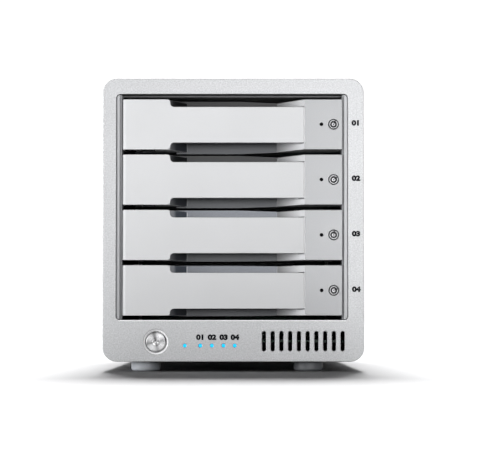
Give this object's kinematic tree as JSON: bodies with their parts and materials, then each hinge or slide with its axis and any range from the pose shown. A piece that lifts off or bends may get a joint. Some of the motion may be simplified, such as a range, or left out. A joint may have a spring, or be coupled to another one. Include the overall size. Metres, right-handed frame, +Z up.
{
  "type": "nas enclosure",
  "caption": "Desktop network storage box with lever-fronted drive trays, a power button, status lights, rear fan and ports.",
  "frame": {"origin": "centre of the overall box at the level of the surface the feet stand on", "axes": "+Z up; the front with the trays faces -Y; +X is to the right seen from the front along +Y"},
  "size_m": [0.1476, 0.238, 0.1658],
  "materials": {
    "blasted_aluminium": "fine bead-blasted, silver anodised",
    "trim_aluminium": "satin, lengthwise grain",
    "foot_rubber": "matt grey",
    "bright_metal": "turned and bright plated",
    "dark_steel": "black oxide",
    "black_plastic": "moulded, matt",
    "circuit_board": "green solder mask",
    "light_guide": "clear, lit cyan",
    "sheet_steel": "plated sheet",
    "heat_sink_aluminium": "extruded",
    "sled_plastic": "moulded, matt",
    "silver_plastic": "silver painted, fine grain",
    "grey_silver_plastic": "silver painted, fine grain",
    "cast_drive": "cast, matt"
  },
  "bodies": {
    "chassis": {"backplane_board": "circuit_board", "bay_trim_left": "trim_aluminium", "bay_trim_right": "trim_aluminium", "board_heat_sink": "heat_sink_aluminium", "casing_sleeve": "blasted_aluminium", "drive_cage": "sheet_steel", "drive_connector_0": "black_plastic", "drive_connector_1": "black_plastic", "drive_connector_2": "black_plastic", "drive_connector_3": "black_plastic", "fan_frame": "black_plastic", "fan_guard": "bright_metal", "fan_screw_high_left": "dark_steel", "fan_screw_high_right": "dark_steel", "fan_screw_low_left": "dark_steel", "fan_screw_low_right": "dark_steel", "foot_left_front": "foot_rubber", "foot_left_rear": "foot_rubber", "foot_right_front": "foot_rubber", "foot_right_rear": "foot_rubber", "front_bezel": "blasted_aluminium", "front_board": "circuit_board", "guide_panel_left": "black_plastic", "guide_panel_right": "black_plastic", "lan_ports": "sheet_steel", "main_board": "circuit_board", "power_jack": "black_plastic", "rear_panel": "blasted_aluminium", "rear_screw_left_high": "bright_metal", "rear_screw_left_low": "bright_metal", "rear_screw_right_high": "bright_metal", "rear_screw_right_low": "bright_metal", "status_light_guide": "light_guide", "usb_ports": "sheet_steel"},
    "power_button_body": {"power_button": "bright_metal"},
    "fan_rotor_body": {"fan_rotor": "black_plastic"},
    "tray_0": {"tray_front_0": "grey_silver_plastic", "tray_sled_0": "sled_plastic", "lever_pin_0": "bright_metal", "hard_drive_0": "cast_drive"},
    "lever_0": {"tray_lever_0": "silver_plastic"},
    "lock_0": {"tray_lock_0": "bright_metal"},
    "tray_1": {"tray_front_1": "grey_silver_plastic", "tray_sled_1": "sled_plastic", "lever_pin_1": "bright_metal", "hard_drive_1": "cast_drive"},
    "lever_1": {"tray_lever_1": "silver_plastic"},
    "lock_1": {"tray_lock_1": "bright_metal"},
    "tray_2": {"tray_front_2": "grey_silver_plastic", "tray_sled_2": "sled_plastic", "lever_pin_2": "bright_metal", "hard_drive_2": "cast_drive"},
    "lever_2": {"tray_lever_2": "silver_plastic"},
    "lock_2": {"tray_lock_2": "bright_metal"},
    "tray_3": {"tray_front_3": "grey_silver_plastic", "tray_sled_3": "sled_plastic", "lever_pin_3": "bright_metal", "hard_drive_3": "cast_drive"},
    "lever_3": {"tray_lever_3": "silver_plastic"},
    "lock_3": {"tray_lock_3": "bright_metal"}
  },
  "joints": [
    {"name": "tray_slide_0", "type": "slide", "parent": "chassis", "child": "tray_0", "axis": [0, -1, 0], "range_m": [0, 0.165]},
    {"name": "lever_swing_0", "type": "hinge", "parent": "tray_0", "child": "lever_0", "pos_m": [-0.05455, -0.113, 0.13995], "axis": [0, 0, -1], "range_deg": [0, 70]},
    {"name": "lock_turn_0", "type": "hinge", "parent": "tray_0", "child": "lock_0", "pos_m": [0.0568, -0.118, 0.13995], "axis": [0, -1, 0], "range_deg": [0, 90]},
    {"name": "tray_slide_1", "type": "slide", "parent": "chassis", "child": "tray_1", "axis": [0, -1, 0], "range_m": [0, 0.165]},
    {"name": "lever_swing_1", "type": "hinge", "parent": "tray_1", "child": "lever_1", "pos_m": [-0.05455, -0.113, 0.10855], "axis": [0, 0, -1], "range_deg": [0, 70]},
    {"name": "lock_turn_1", "type": "hinge", "parent": "tray_1", "child": "lock_1", "pos_m": [0.0568, -0.118, 0.10855], "axis": [0, -1, 0], "range_deg": [0, 90]},
    {"name": "tray_slide_2", "type": "slide", "parent": "chassis", "child": "tray_2", "axis": [0, -1, 0], "range_m": [0, 0.165]},
    {"name": "lever_swing_2", "type": "hinge", "parent": "tray_2", "child": "lever_2", "pos_m": [-0.05455, -0.113, 0.07715], "axis": [0, 0, -1], "range_deg": [0, 70]},
    {"name": "lock_turn_2", "type": "hinge", "parent": "tray_2", "child": "lock_2", "pos_m": [0.0568, -0.118, 0.07715], "axis": [0, -1, 0], "range_deg": [0, 90]},
    {"name": "tray_slide_3", "type": "slide", "parent": "chassis", "child": "tray_3", "axis": [0, -1, 0], "range_m": [0, 0.165]},
    {"name": "lever_swing_3", "type": "hinge", "parent": "tray_3", "child": "lever_3", "pos_m": [-0.05455, -0.113, 0.04575], "axis": [0, 0, -1], "range_deg": [0, 70]},
    {"name": "lock_turn_3", "type": "hinge", "parent": "tray_3", "child": "lock_3", "pos_m": [0.0568, -0.118, 0.04575], "axis": [0, -1, 0], "range_deg": [0, 90]},
    {"name": "power_button_press", "type": "slide", "parent": "chassis", "child": "power_button_body", "axis": [0, 1, 0], "range_m": [0, 0.0012], "stiffness_N_per_m": 400, "springref_m": -0.0005},
    {"name": "fan_spin", "type": "hinge", "parent": "chassis", "child": "fan_rotor_body", "pos_m": [0, 0.10065, 0.098], "axis": [0, 1, 0], "continuous": true}
  ]
}
